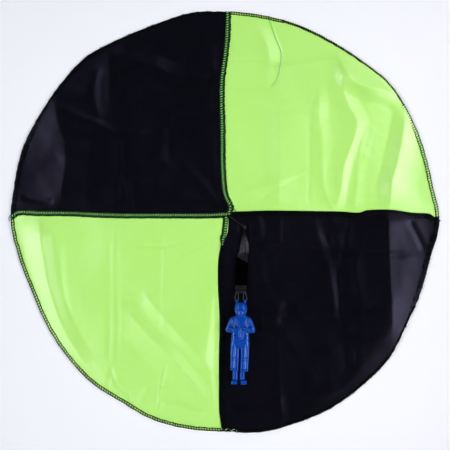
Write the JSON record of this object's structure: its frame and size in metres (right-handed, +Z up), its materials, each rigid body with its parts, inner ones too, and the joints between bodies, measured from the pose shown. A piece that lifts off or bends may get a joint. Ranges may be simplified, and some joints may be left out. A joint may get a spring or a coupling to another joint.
{
  "type": "toy paratrooper",
  "caption": "Throwing toy: a round cloth canopy in black and green quadrants, lying open, with a moulded figure hung from its crown by a satin ribbon.",
  "frame": {"origin": "on the floor, at the middle of the canopy's disc", "axes": "+Z up, out of the canopy's inner side; +Y from the figure's feet towards its head; +X to the figure's left as it is seen from above"},
  "size_m": [0.4806, 0.4726, 0.0169],
  "materials": {
    "black_taffeta": "satin",
    "green_taffeta": "satin",
    "overlock_thread": "matte",
    "black_cord": "matte",
    "black_satin": "satin",
    "black_tape": "matte",
    "blue_plastic": "gloss"
  },
  "bodies": {
    "canopy": {"panel_black_back_left": "black_taffeta", "panel_green_back_right": "green_taffeta", "panel_green_front_left": "green_taffeta", "panel_black_front_right": "black_taffeta", "seam_left": "overlock_thread", "seam_back": "overlock_thread", "seam_right": "overlock_thread", "seam_front": "overlock_thread", "hem_back_left": "overlock_thread", "hem_back_right": "overlock_thread", "hem_front_left": "overlock_thread", "hem_front_right": "overlock_thread", "crown_tack": "overlock_thread", "crown_cord": "black_cord"},
    "ribbon": {"ribbon_knot": "black_satin", "ribbon": "black_satin", "ribbon_wrap": "black_tape", "lug_loop_left": "black_cord", "lug_loop_right": "black_cord"},
    "figure": {"figure": "blue_plastic"}
  },
  "joints": [
    {"name": "ribbon_lift", "type": "hinge", "parent": "canopy", "child": "ribbon", "pos_m": [0.0221, -0.0058, 0.0035], "axis": [-1, 0, 0], "range_deg": [0, 120]},
    {"name": "figure_swing", "type": "hinge", "parent": "ribbon", "child": "figure", "pos_m": [0.0174, -0.0882, 0.0073], "axis": [-1, 0, 0], "range_deg": [0, 90]}
  ]
}
